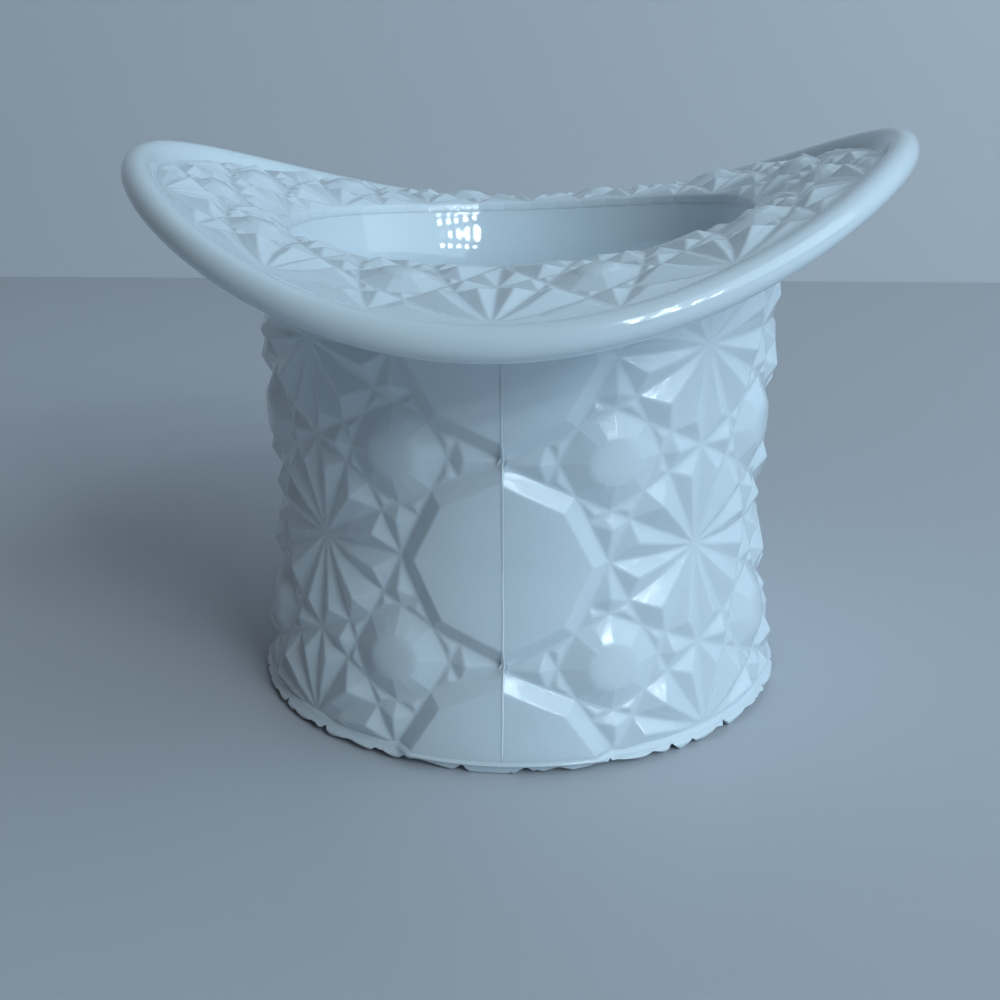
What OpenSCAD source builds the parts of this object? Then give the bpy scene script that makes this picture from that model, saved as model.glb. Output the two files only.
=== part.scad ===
// Pressed milk-glass top hat, a small one-piece table ornament.
// The hat stands crown down: the foot rests on the table and the brim is the open mouth.
// The pressing is divided where its forms change, and the solids meet face to face.
// Millimetres, +Z up, origin at the centre of the rest plane, front seam towards -Y.

/* [Crown] */
// Radius at the bottom of the pattern's grooves, lowest row
foot_groove_r = 28.8; // [27.5:0.1:31]
// How far the wall draws in from the foot to the waist
waist_draw = 2.5; // [0.5:0.1:4]
// How far the wall draws in from the foot to the neck, under the brim
neck_draw = 1.6; // [0.5:0.1:4]
// How sharply the wall draws in to the waist
waist_curve = 1.3; // [1.1:0.1:2.5]
// Height of one row of the pattern
row_pitch = 20; // [17:0.5:24]
// Rows of the pattern up the wall
rows = 2; // [2:1:3]
// Columns of plain panels, one at each seam of the mould
plain_columns = 2; // [1:1:3]
// Columns of stars from one plain column to the next
star_columns = 3; // [2:1:4]
// Glass between the grooves and the inside, under the brim
wall_t = 4.4; // [3:0.1:5.5]
// How much the well opens out at its throat, up to the lip
throat_flare = 1.9; // [0.4:0.1:2.5]
// How much the well narrows from under the throat to its floor
well_taper = 1.6; // [0.6:0.1:4]
// Glass under the well, above the foot
floor_t = 3.7; // [2.5:0.1:6]
// Round between the well's wall and its floor
well_round = 3; // [1:0.1:5]

/* [Pressed pattern] */
// Slope of the cut facets on the wall
facet_angle = 26; // [18:1:34]
// Slope of the cut facets on the brim
brim_facet_angle = 22; // [12:1:28]
// Width of the bevel round a plain panel
panel_bevel = 1.6; // [0.8:0.1:2.4]
// Height of a plain panel above the grooves
panel_h = 1.2; // [0.6:0.05:1.6]
// Height of a button's shoulder above the grooves
button_shoulder_h = 0.95; // [0.4:0.05:1.2]
// Height of a button's crown above the grooves
button_crown_h = 1.3; // [0.9:0.05:2]
// Width of the bevel round a button
button_bevel = 1.9; // [0.8:0.1:2.4]
// Glass under the grooves that is moulded with the pattern
pattern_skin = 0.7; // [0.5:0.05:1]

/* [Brim] */
// Share of the pattern's relief that is left at the lip and at the bead
edge_relief = 0.4; // [0.2:0.05:1]
// Share of the brim's width over which the relief dies away at each edge
edge_fade = 0.2; // [0.1:0.05:0.4]
// Stars round the top of the brim
brim_stars = 12; // [8:1:16]
// From the neck out to the centre of the rim bead, at the turned-up sides
brim_out_side = 11.3; // [10:0.1:18]
// From the neck out to the centre of the rim bead, at front and back
brim_out_front = 15.2; // [10:0.1:20]
// Mean height of the rim bead's centre above the crown
rim_rise = 10.5; // [7:0.1:12]
// How far the sides turn up and the front and back turn down
rim_lift = 5.7; // [0:0.1:9]
// Extra lift of the brim half way between a side and the front
rim_fullness = 0.4; // [0:0.1:1.5]
// How much the right side stands above the left, as half the difference
rim_lean = 0.6; // [0:0.1:1.5]
// How much more the front turns down than the back, as half the difference
rim_sway = 0.6; // [0:0.1:1.2]
// Height of the mouth's lip above the crown
lip_rise = 8.9; // [7:0.1:11]
// How far the lip follows the turned-up sides
lip_lift = 1; // [0:0.1:2]
// How far the lip leans with the brim
lip_lean = 0.9; // [0:0.1:1.2]
// How much the lip's back stands above its front, as half the difference
lip_tilt = 0.3; // [0:0.1:1]
// Glass of the brim where it leaves the crown, under the pattern's grooves
brim_root_t = 3.4; // [2.4:0.1:4.5]
// Length of the curve under the brim from the crown's wall
neck_sweep = 6; // [3:0.2:8]

/* [Rim bead] */
// Radius of the bead's round
bead_r = 1.6; // [1.2:0.1:2.2]
// From the bead's centre in to the end of the pattern
bead_inset = 2.8; // [1.8:0.1:3.2]
// Pattern's grooves above the bead's centre, at front and back
bead_step = 1; // [0.3:0.1:1.2]
// How far the end of the pattern sinks with the turned-up sides, as half the drop
bead_cant = 0.8; // [0:0.1:1]
// How much narrower the bead's band is at the sides, as half the share
bead_draw = 0.2; // [0:0.05:0.25]
// Underside of the brim below the bead's centre, where the bead starts
bead_under = 1.3; // [1:0.1:1.4]

/* [Foot] */
// How far the rest plane reaches beyond the lowest grooves
foot_reach = 0.5; // [0.1:0.1:1.5]
// How much the foot widens from the rest plane up
foot_flare = 0.7; // [0.1:0.1:1.2]
// Height of the foot, up to the lowest row of the pattern
foot_h = 1.3; // [1.1:0.1:2.5]
// Depth of the grooves pressed into the underside
sole_groove_d = 0.8; // [0.4:0.05:1]
// Distance between parallel grooves of the underside
sole_groove_pitch = 8.9; // [7:0.1:12]
// How far each set of parallel grooves is set off from the one before
sole_stagger = 0.2; // [0.1:0.05:0.5]
// Plain round left at the middle of the underside
sole_plain_r = 9; // [6:0.5:14]
// Turn of the underside's pattern
sole_turn = 20; // [0:1:45]

/* [Hidden] */
$fn = 96;
eps = 0.01;
facet = tan(facet_angle);
brim_facet = tan(brim_facet_angle);
columns = plain_columns * (star_columns + 1);
crown_top = foot_h + rows * row_pitch;
waist_groove_r = foot_groove_r - waist_draw;
neck_groove_r = foot_groove_r - neck_draw;
well_top_r = neck_groove_r - wall_t;
mouth_r = well_top_r + throat_flare;
reach_side = neck_groove_r + brim_out_side;
reach_front = neck_groove_r + brim_out_front;
well_floor_z = foot_h + floor_t;
well_floor_r = well_top_r - well_taper;
foot_rest_r = foot_groove_r + foot_reach;
sole_lines = floor(foot_rest_r / sole_groove_pitch);
sole_half = foot_rest_r + 2 * foot_flare + sole_groove_d;
sole_turns = [atan(0.5), atan(2), -atan(0.5), -atan(2)];
glass = [0.9, 0.93, 0.96];
grooved_glass = [0.86, 0.9, 0.95];

// The lattice: centres at whole numbers, buttons half way between four centres.
// A plain panel and a star are the same octagon, cut by grooves or left whole.
panel_in_r = 0.5 / sqrt(1.25);
axis_petal_r = sqrt(0.2) / 3;
corner_petal_r = sqrt(0.2) / 4;
kite_r = sqrt(0.2) / 6;
chip_r = sqrt(0.2) / 12;
button_in_r = sqrt(0.2) / 2;

function grid(x) = round(x * 100000) / 100000;
function lift(p, h) = [p[0], p[1], h];
function fan(pts, apex, h) =
    [for (i = [0:len(pts) - 2]) [lift(pts[i], 0), lift(pts[i + 1], 0), lift(apex, h)]];
function band(a, ha, b, hb) =
    [for (i = [0:len(a) - 2]) each [
        [lift(a[i], ha), lift(a[i + 1], ha), lift(b[i], hb)],
        [lift(b[i], hb), lift(a[i + 1], ha), lift(b[i + 1], hb)]]];
function toward(pts, c, k) = [for (p = pts) c + k * (p - c)];
function incentre(a, b, c) =
    (norm(b - c) * a + norm(c - a) * b + norm(a - b) * c) / (norm(b - c) + norm(c - a) + norm(a - b));
function chip(a, b, c, h) = fan([a, b, c, a], incentre(a, b, c), h);

// A quarter of a button, centred at half, half; pts run round its outline.
function button(pts, k, pitch) =
    let (c = [0.5, 0.5])
    let (shoulder = toward(pts, c, k), top = toward(pts, c, k / 2))
    concat(
        band(pts, 0, shoulder, button_shoulder_h),
        band(shoulder, button_shoulder_h, top, (button_shoulder_h + 3 * button_crown_h) / 4),
        [for (i = [0:len(pts) - 2]) [
            lift(top[i], (button_shoulder_h + 3 * button_crown_h) / 4),
            lift(top[i + 1], (button_shoulder_h + 3 * button_crown_h) / 4),
            lift(c, button_crown_h)]]);

// A quarter of a star, its centre at one, nought, for u from a half to one.
function star_quarter(pitch, slope) =
    let (s = slope * pitch)
    let (kb = 1 - button_bevel / pitch / button_in_r)
    concat(
        fan([[1, 0.5], [0.8, 0.4], [1, 0]], [1, 1 / 3], s * axis_petal_r),
        fan([[1, 0], [0.6, 0.2], [0.5, 0]], [2 / 3, 0], s * axis_petal_r),
        fan([[1, 0], [0.8, 0.4], [2 / 3, 1 / 3], [0.6, 0.2], [1, 0]], [0.75, 0.25], s * corner_petal_r),
        chip([0.8, 0.4], [0.75, 0.5], [2 / 3, 1 / 3], s * chip_r),
        chip([0.6, 0.2], [2 / 3, 1 / 3], [0.5, 0.25], s * chip_r),
        fan([[0.75, 0.5], [0.8, 0.4], [1, 0.5]], [5 / 6, 0.5], s * kite_r),
        fan([[0.5, 0], [0.6, 0.2], [0.5, 0.25]], [0.5, 1 / 6], s * kite_r),
        button([[0.5, 0.25], [2 / 3, 1 / 3], [0.75, 0.5]], kb, pitch));

// Points of a plain panel's quarter, centre at nought, nought.
function panel_k(pitch) = 1 - panel_bevel / pitch / panel_in_r;
function panel_quarter(pitch) =
    let (s = facet * pitch, h = panel_h, k = panel_k(pitch))
    let (kb = 1 - button_bevel / pitch / button_in_r)
    let (b0 = [0, 0], b1 = [k / 6, 0], b2 = [k / 3, 0])
    let (i0 = [k / 2, 0], i1 = [k / 3, k / 3], im = [k / 6, 5 * k / 12], i2 = [0, k / 2])
    let (e0 = [0.5, 0], e1 = [0.4, 0.2], e2 = [1 / 3, 1 / 3], e3 = [0.2, 0.4], e4 = [0, 0.5])
    concat(
        [for (t = [[b0, b1, im], [b0, im, i2], [b1, b2, i1], [b1, i1, im], [b2, i0, i1]])
            [for (p = t) lift(p, h)]],
        [for (t = [[i0, e0, e1], [i1, e2, e3], [im, e3, e4]])
            [lift(t[0], h), lift(t[1], 0), lift(t[2], 0)]],
        [for (t = [[i0, e1, i1], [i1, e3, im], [im, e4, i2]])
            [lift(t[0], h), lift(t[1], 0), lift(t[2], h)]],
        [[lift(i1, h), lift(e1, 0), lift(e2, 0)]],
        chip([0.2, 0.4], [1 / 3, 1 / 3], [0.25, 0.5], s * chip_r),
        chip([0.4, 0.2], [0.5, 0.25], [1 / 3, 1 / 3], s * chip_r),
        fan([[0, 0.5], [0.2, 0.4], [0.25, 0.5]], [1 / 6, 0.5], s * kite_r),
        fan([[0.5, 0.25], [0.4, 0.2], [0.5, 0]], [0.5, 1 / 6], s * kite_r),
        button([[0.25, 0.5], [1 / 3, 1 / 3], [0.5, 0.25]], kb, pitch));

function flip_u(ts, c) =
    [for (t = ts) [for (i = [2:-1:0]) [2 * c - t[i][0], t[i][1], t[i][2]]]];
function flip_v(ts, c) =
    [for (t = ts) [for (i = [2:-1:0]) [t[i][0], 2 * c - t[i][1], t[i][2]]]];
function both_u(ts, c) = concat(ts, flip_u(ts, c));
function both_v(ts, c) = concat(ts, flip_v(ts, c));
function shift(ts, u, v) = [for (t = ts) [for (p = t) [p[0] + u, p[1] + v, p[2]]]];

// Crown: wall radius at a row, and a lattice point on the wall.
function wall_r(v) =
    let (w = 2 * v / rows - 1)
    waist_groove_r + ((w < 0 ? foot_groove_r : neck_groove_r) - waist_groove_r) * pow(abs(w), waist_curve);
function wall_point(p) =
    let (a = -90 + 360 / columns * p[0], r = wall_r(p[1]) + p[2])
    [grid(r * cos(a)), grid(r * sin(a)), grid(foot_h + row_pitch * p[1])];
half_panel = both_v(panel_quarter(row_pitch), 0.5);
star_column = both_u(both_v(star_quarter(row_pitch, facet), 0.5), 1);
wall_tile = concat(
    half_panel,
    [for (c = [0:star_columns - 1]) each shift(star_column, c, 0)],
    shift(flip_u(half_panel, 0.5), star_columns, 0));
wall_skin = [for (i = [0:plain_columns - 1], j = [0:rows - 1])
    each shift(wall_tile, (star_columns + 1) * i, j)];
wall_k = panel_k(row_pitch);
petal_h = facet * row_pitch * axis_petal_r;
star_edge_u = [1 / 2, 2 / 3, 1, 4 / 3];
wall_edge = [for (i = [0:plain_columns - 1]) let (u0 = i * (star_columns + 1)) each concat(
    [for (f = [0, 1 / 6, 1 / 3, 1 / 2]) [u0 + f * wall_k, panel_h]],
    [for (c = [0:star_columns - 1], f = [0:3]) [u0 + c + star_edge_u[f], f % 2 == 1 ? petal_h : 0]],
    [[u0 + star_columns + 1 / 2, 0]],
    [for (f = [1 / 2, 1 / 3, 1 / 6]) [u0 + star_columns + 1 - f * wall_k, panel_h]])];

// Brim: rim and lip heights and reaches at an angle from +X.
function rim_r(a) = (reach_side + reach_front) / 2 + (reach_side - reach_front) / 2 * cos(2 * a);
function rim_z(a) = crown_top + rim_rise + rim_lift * cos(2 * a) + rim_fullness * (1 - cos(4 * a))
    + rim_lean * cos(a) - rim_sway * sin(3 * a);
function lip_z(a) = crown_top + lip_rise + lip_lift * cos(2 * a) + lip_lean * cos(a) + lip_tilt * sin(a);
function edge_r(a) = rim_r(a) - bead_inset * (1 - bead_draw * (1 + cos(2 * a)));
function edge_z(a) = rim_z(a) + bead_step - bead_cant * (1 + cos(2 * a));
function top_z(a, r) =
    edge_z(a) + (lip_z(a) - edge_z(a)) * (edge_r(a) - r) / (edge_r(a) - mouth_r);
function under_z(a, r) =
    let (k = (edge_r(a) - r) / (edge_r(a) - mouth_r))
    top_z(a, r) - (bead_step + bead_under) * (1 - k) - brim_root_t * k;
function turned(a, r, z) = [grid(r * cos(a)), grid(r * sin(a)), grid(z)];
brim_pitch = (reach_side + reach_front) / 2 - bead_inset - mouth_r;
function brim_a(u) = -90 + 360 / brim_stars * u;
function brim_fade(v) = edge_relief + (1 - edge_relief) * min(1, min(v, 1 - v) / edge_fade);
function brim_point(p) =
    let (a = brim_a(p[0]), r = edge_r(a) + (mouth_r - edge_r(a)) * p[1])
    turned(a, r, top_z(a, r) + p[2] * brim_fade(p[1]));
brim_tile = shift(both_u(both_v(star_quarter(brim_pitch, brim_facet), 0.5), 1), -1, 0);
brim_skin = [for (i = [0:brim_stars - 1]) each shift(brim_tile, i, 0)];
brim_edge_u = [for (i = [0:brim_stars - 1]) each [i, i + 1 / 3, i + 0.5, i + 2 / 3]];
brim_edge_h = [for (i = [0:brim_stars - 1]) each [0, 1, 0, 1] * brim_facet * brim_pitch * axis_petal_r];

// Cross-sections at one angle, counter-clockwise with the radius to the right.
function brim_loop(a) =
    let (n0 = [neck_groove_r, crown_top], n1 = [neck_groove_r, under_z(a, neck_groove_r)])
    let (n2 = [neck_groove_r + neck_sweep, under_z(a, neck_groove_r + neck_sweep)])
    let (m0 = [mouth_r, lip_z(a) - pattern_skin], m2 = [well_top_r, crown_top])
    let (m1 = [well_top_r, (m0[1] + m2[1]) / 2])
    concat(
        [[well_top_r, crown_top]],
        [for (t = [0:0.2:1]) (1 - t) * (1 - t) * n0 + 2 * t * (1 - t) * n1 + t * t * n2],
        [[edge_r(a), edge_z(a) - bead_step - bead_under],
         [edge_r(a), edge_z(a) - pattern_skin]],
        [for (t = [0:0.25:0.75]) (1 - t) * (1 - t) * m0 + 2 * t * (1 - t) * m1 + t * t * m2]);
function bead_loop(a) = concat(
    [[edge_r(a), edge_z(a) - bead_step - bead_under]],
    [for (t = [-95:19.5:100]) [rim_r(a) + bead_r * cos(t), rim_z(a) + bead_r * sin(t)]],
    [[edge_r(a), edge_z(a) + (bead_r - bead_step) / 3]]);

function loft(loops) =
    let (n = len(loops), m = len(loops[0]))
    [for (k = [0:n - 1], j = [0:m - 1]) each
        let (a = loops[k][j], b = loops[(k + 1) % n][j])
        let (c = loops[(k + 1) % n][(j + 1) % m], d = loops[k][(j + 1) % m])
        [[a, b, c], [a, c, d]]];
function strip(a, b) =
    let (n = len(a))
    [for (k = [0:n - 1]) each [
        [a[k], a[(k + 1) % n], b[(k + 1) % n]],
        [a[k], b[(k + 1) % n], b[k]]]];
function turned_over(ts) = [for (t = ts) [t[2], t[1], t[0]]];
function turned_loops(f) = [for (u = brim_edge_u)
    let (a = brim_a(u))
    [for (p = f == 0 ? brim_loop(a) : bead_loop(a)) turned(a, p[0], p[1])]];

// Triangles that run counter-clockwise seen from outside.
module skin_solid(ts) {
    polyhedron(
        points = [for (t = ts) each t],
        faces = [for (i = [0:len(ts) - 1]) [3 * i + 2, 3 * i + 1, 3 * i]],
        convexity = 10);
}

function crown_outline(lo, hi) = [
    for (i = [0:12])
        let (v = rows * i / 12)
        [wall_r(v) - pattern_skin, foot_h + row_pitch * v + (i == 0 ? -lo : (i == 12 ? hi : 0))]];

module foot() {
    color(grooved_glass)
    difference() {
        rotate_extrude()
            polygon([[0, 0], [foot_rest_r, 0], [foot_rest_r + foot_flare, foot_h], [0, foot_h]]);
        difference() {
            rotate([0, 0, sole_turn])
            for (i = [0:3], k = [-sole_lines:sole_lines])
                rotate([0, 0, sole_turns[i]])
                translate([-sole_half, k * sole_groove_pitch + i * sole_stagger, 0])
                rotate([90, 0, 90])
                linear_extrude(height = 2 * sole_half)
                    polygon([
                        [-(sole_groove_d + eps) / facet, -eps],
                        [(sole_groove_d + eps) / facet, -eps],
                        [0, sole_groove_d]]);
            translate([0, 0, -foot_h]) cylinder(r = sole_plain_r, h = 3 * foot_h);
        }
    }
}

module crown() {
    color(glass)
    rotate_extrude()
    polygon(concat(
        [[0, foot_h]],
        crown_outline(0, 0),
        [[well_top_r, crown_top]],
        [for (t = [0:15:90]) [
            well_floor_r - well_round * (1 - cos(t)),
            well_floor_z + well_round * (1 - sin(t))]],
        [[0, well_floor_z]]));
}

module crown_pattern() {
    n = len(wall_edge);
    low = [for (e = wall_edge) wall_point([e[0], 0, e[1]])];
    high = [for (e = wall_edge) wall_point([e[0], rows, e[1]])];
    color(grooved_glass)
    difference() {
        skin_solid(concat(
            [for (t = wall_skin) [for (p = t) wall_point(p)]],
            [for (i = [0:n - 1]) [low[(i + 1) % n], low[i], [0, 0, grid(foot_h)]]],
            [for (i = [0:n - 1]) [high[i], high[(i + 1) % n], [0, 0, grid(crown_top)]]]));
        rotate_extrude()
            polygon(concat([[0, foot_h - 1]], crown_outline(1, 1), [[0, crown_top + 1]]));
    }
}

module brim() {
    color(glass) skin_solid(loft(turned_loops(0)));
}

module brim_pattern() {
    n = len(brim_edge_u);
    outer = [for (u = brim_edge_u) let (a = brim_a(u)) turned(a, edge_r(a), edge_z(a) - pattern_skin)];
    inner = [for (u = brim_edge_u) let (a = brim_a(u)) turned(a, mouth_r, lip_z(a) - pattern_skin)];
    outer_top = [for (i = [0:n - 1]) brim_point([brim_edge_u[i], 0, brim_edge_h[i]])];
    inner_top = [for (i = [0:n - 1]) brim_point([brim_edge_u[i], 1, brim_edge_h[i]])];
    color(grooved_glass)
    skin_solid(concat(
        [for (t = brim_skin) [for (p = t) brim_point(p)]],
        strip(outer, outer_top),
        strip(inner_top, inner),
        turned_over(strip(outer, inner))));
}

module rim_bead() {
    color(glass) skin_solid(loft(turned_loops(1)));
}

foot();
crown();
crown_pattern();
brim();
brim_pattern();
rim_bead();
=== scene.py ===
import bpy, bmesh, math
import numpy as np
from mathutils import Matrix, Vector


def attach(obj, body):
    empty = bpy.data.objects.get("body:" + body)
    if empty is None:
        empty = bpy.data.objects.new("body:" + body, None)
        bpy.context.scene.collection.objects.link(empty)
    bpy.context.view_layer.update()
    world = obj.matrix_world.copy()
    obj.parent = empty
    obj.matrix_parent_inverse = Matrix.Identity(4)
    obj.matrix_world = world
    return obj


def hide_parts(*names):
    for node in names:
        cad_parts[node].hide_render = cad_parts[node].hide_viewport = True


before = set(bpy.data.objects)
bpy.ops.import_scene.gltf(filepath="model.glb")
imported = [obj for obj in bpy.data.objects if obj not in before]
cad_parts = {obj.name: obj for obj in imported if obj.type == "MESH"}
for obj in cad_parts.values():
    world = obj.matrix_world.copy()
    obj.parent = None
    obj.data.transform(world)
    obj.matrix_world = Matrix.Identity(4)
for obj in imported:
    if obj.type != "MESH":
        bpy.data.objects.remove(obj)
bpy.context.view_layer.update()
mm = 0.001

# sizes that every piece of the hat shares, in millimetres
hat = {
    "footGrooveR": 28.8, "waistGrooveR": 26.3, "neckGrooveR": 27.2, "waistCurve": 1.3,
    "rowPitch": 20.0, "rows": 2, "columns": 8, "footH": 1.3, "footR": 29.3, "footFlare": 0.7,
    "wellTopR": 22.8, "mouthR": 24.7, "wellFloorR": 21.2, "wellFloorZ": 5.0, "wellRound": 3.0,
    "brimStars": 12, "reachSide": 38.5, "reachFront": 42.4,
    "rimRise": 10.5, "rimLift": 5.7, "rimFullness": 0.4, "rimLean": 0.6, "rimSway": 0.6,
    "lipRise": 8.9, "lipLift": 1.0, "lipLean": 0.9, "lipTilt": 0.3, "brimRootT": 3.4, "brimRoll": 0.5,
    "neckSweep": 6.0, "neckRows": 0.5,
    "beadInset": 2.8, "beadStep": 1.0, "beadCant": 0.8, "beadDraw": 0.2, "beadUnder": 1.3,
}
crownTop = hat["footH"] + hat["rows"] * hat["rowPitch"]
neckEnd = hat["neckGrooveR"] + hat["neckSweep"]
meanReach = (hat["reachSide"] + hat["reachFront"]) / 2


# shape of the brim at an angle from +X
def rimR(a):
    return meanReach + (hat["reachSide"] - hat["reachFront"]) / 2 * np.cos(2 * a)


def rimZ(a):
    return (crownTop + hat["rimRise"] + hat["rimLift"] * np.cos(2 * a)
            + hat["rimFullness"] * (1 - np.cos(4 * a))
            + hat["rimLean"] * np.cos(a) - hat["rimSway"] * np.sin(3 * a))


def lipZ(a):
    return (crownTop + hat["lipRise"] + hat["lipLift"] * np.cos(2 * a)
            + hat["lipLean"] * np.cos(a) + hat["lipTilt"] * np.sin(a))


def edgeR(a):
    return rimR(a) - hat["beadInset"] * (1 - hat["beadDraw"] * (1 + np.cos(2 * a)))


def edgeZ(a):
    return rimZ(a) + hat["beadStep"] - hat["beadCant"] * (1 + np.cos(2 * a))


def inShare(a, r):
    # 0 at the bead, 1 at the mouth
    return (edgeR(a) - r) / (edgeR(a) - hat["mouthR"])


def topZ(a, r):
    k = inShare(a, r)
    roll = np.clip(k, 0, 1)
    return edgeZ(a) + (lipZ(a) - edgeZ(a)) * k + hat["brimRoll"] * 4 * roll * (1 - roll)


def underZ(a, r):
    k = inShare(a, r)
    return topZ(a, r) - (hat["beadStep"] + hat["beadUnder"]) * (1 - k) - hat["brimRootT"] * k


def wallR(v):
    # radius of the pattern's grooves at a height in rows
    w = np.abs(2 * v / hat["rows"] - 1)
    end = np.where(2 * v < hat["rows"], hat["footGrooveR"], hat["neckGrooveR"])
    return hat["waistGrooveR"] + (end - hat["waistGrooveR"]) * w ** hat["waistCurve"]


def ease(x):
    x = np.clip(x, 0, 1)
    return x * x * (3 - 2 * x)


def curved(t, *points):
    # radius and height at t of the curve that these points pull
    n = len(points) - 1
    shares = [math.comb(n, i) * t ** i * (1 - t) ** (n - i) for i in range(n + 1)]
    return [sum(s * p[axis] for s, p in zip(shares, points)) for axis in (0, 1)]


# objects and meshes
tileWeld, rowWeld = 1e-4, 0.0005  # in columns of the pattern
meshWeld = 1e-7  # in metres


def linked(name, data):
    o = bpy.data.objects.new(name, data)
    bpy.context.scene.collection.objects.link(o)
    return o


def evaluated(o):
    # plain mesh of an object and its modifiers; the object itself goes
    mesh = bpy.data.meshes.new_from_object(o.evaluated_get(bpy.context.evaluated_depsgraph_get()))
    bpy.data.objects.remove(o)
    return mesh


def opened(*meshes):
    bm = bmesh.new()
    for mesh in meshes:
        bm.from_mesh(mesh)
    return bm


def written(bm, mesh):
    bm.to_mesh(mesh)
    bm.free()
    return mesh


def coordinates(mesh):
    co = np.empty(len(mesh.vertices) * 3)
    mesh.vertices.foreach_get("co", co)
    return co.reshape(-1, 3)


def place(mesh, co):
    mesh.vertices.foreach_set("co", np.ascontiguousarray(co, dtype=np.float32).ravel())
    mesh.update()


def polar(r, a, z):
    return Vector((r * math.cos(a), r * math.sin(a), z)) * mm


def turns(count):
    return np.linspace(0, 2 * np.pi, count, endpoint=False)


def ring(angles, r, z):
    r, z = np.broadcast_to(r, angles.shape), np.broadcast_to(z, angles.shape)
    return np.c_[r * np.cos(angles), r * np.sin(angles), z]


def ringMesh(name, rings, closed=True):
    # quads between rings of points
    n = len(rings[0])
    verts = [tuple(x * mm for x in p) for points in rings for p in points]
    faces = []
    for k in range(len(rings) - (0 if closed else 1)):
        a, b = k * n, (k + 1) % len(rings) * n
        faces += [(a + j, a + (j + 1) % n, b + (j + 1) % n, b + j) for j in range(n)]
    mesh = bpy.data.meshes.new(name)
    mesh.from_pydata(verts, [], faces)
    mesh.update()
    return mesh


def hideFrom(mesh, first):
    # marks the faces from this one on as not seen
    layer = mesh.attributes.new("backFace", "INT", "FACE")
    for i in range(first, len(mesh.polygons)):
        layer.data[i].value = 1


def closedPoles(mesh):
    # makes one point of each ring that has no size
    bm = opened(mesh)
    bmesh.ops.remove_doubles(bm, verts=bm.verts, dist=meshWeld)
    bmesh.ops.delete(bm, geom=[e for e in bm.edges if not e.link_faces], context="EDGES")
    written(bm, mesh)


def outward(mesh, towards):
    # turns the faces so that the seen ones look the way that towards gives at a point
    bm = opened(mesh)
    back = bm.faces.layers.int.get("backFace")
    seen = [f for f in bm.faces if not (back and f[back])]
    if sum(f.normal.dot(towards(f.calc_center_median())) * f.calc_area() for f in seen) < 0:
        bmesh.ops.reverse_faces(bm, faces=bm.faces)
    return written(bm, mesh)


def toAxis(c):
    return Vector((-c.x, -c.y, 0))


def boundaryLoops(bm):
    # open edges of a mesh, as groups that hang together
    left = {e for e in bm.edges if e.is_boundary}
    loops = []
    while left:
        group, stack = [], [left.pop()]
        while stack:
            e = stack.pop()
            group.append(e)
            for v in e.verts:
                for other in v.link_edges:
                    if other in left:
                        left.remove(other)
                        stack.append(other)
        loops.append(group)
    return loops


def drawn(bm, edges, move, hidden=True):
    # draws an open edge out to a new place and gives back the new open edge
    back = bm.faces.layers.int.get("backFace") or bm.faces.layers.int.new("backFace")
    geom = bmesh.ops.extrude_edge_only(bm, edges=edges)["geom"]
    for g in geom:
        if isinstance(g, bmesh.types.BMVert):
            g.co = move(g.co)
        if isinstance(g, bmesh.types.BMFace) and hidden:
            g[back] = 1
    return [g for g in geom if isinstance(g, bmesh.types.BMEdge) and g.is_boundary]


creaseStart = 0.35  # width of the slightest crease, as a share of the full one


def softened(mesh, look):
    # rounds the creases: a bevel whose width grows with the crease's angle
    least, full = look["creaseAngles"]
    bm = opened(mesh)
    bmesh.ops.remove_doubles(bm, verts=bm.verts, dist=meshWeld)
    weight = bm.edges.layers.float.new("bevel_weight_edge")
    back = bm.faces.layers.int.get("backFace")
    for e in bm.edges:
        if len(e.link_faces) == 2 and not (back and any(f[back] for f in e.link_faces)):
            angle = math.degrees(e.calc_face_angle(0))
            if angle > least:
                e[weight] = min(1, creaseStart + (1 - creaseStart) * (angle - least) / (full - least))
    o = linked("soft", written(bm, mesh))
    mod = o.modifiers.new("soft", "BEVEL")
    mod.limit_method, mod.offset_type = "WEIGHT", "OFFSET"
    mod.width, mod.segments, mod.profile = look["crease"] * mm, 2, 0.5
    mod.use_clamp_overlap, mod.loop_slide = False, False
    return evaluated(o)


# the pressed lattice: star, plain panel and button facets, flat, as (u, v, height)
# radius of the circle inside each kind of facet, in columns
panelR = math.sqrt(0.2)
buttonR, cornerR, kiteR, chipR = panelR / 2, panelR / 4, panelR / 6, panelR / 12
petalR = panelR / (3 + math.sqrt(5))
third = 1 / 3
panelRings = (1, 0.66, 0.33)  # strips of a panel, so that it follows the wall
buttonRings = (1, 0.72, 0.38)  # rings of a button's crown, as shares of its shoulder
crownReach, crownRound = 1.035, 0.85  # a round crown's size beside its octagon, and how round it is


def facetSlope(look, pitch):
    return math.tan(math.radians(look["facetAngle"])) * pitch


def strip(a, b, heightA, heightB):
    # quads between two rows of points
    return [[(*a[i], heightA), (*a[i + 1], heightA), (*b[i + 1], heightB), (*b[i], heightB)]
            for i in range(len(a) - 1)]


def fan(points, apex, h, low=0):
    return [[(*points[i], low), (*points[i + 1], low), (*apex, h)] for i in range(len(points) - 1)]


def chip(a, b, c, h):
    # three facets that meet over the middle of the circle inside a triangle
    la, lb, lc = math.dist(b, c), math.dist(c, a), math.dist(a, b)
    apex = [(la * p + lb * q + lc * r) / (la + lb + lc) for p, q, r in zip(a, b, c)]
    return fan([a, b, c, a], apex, h)


def scaled(points, k, middle=0.0):
    return [tuple(middle + (x - middle) * k for x in p) for p in points]


def shoulderAt(look, pitch):
    return 1 - look["buttonBevel"] / pitch / buttonR


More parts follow.
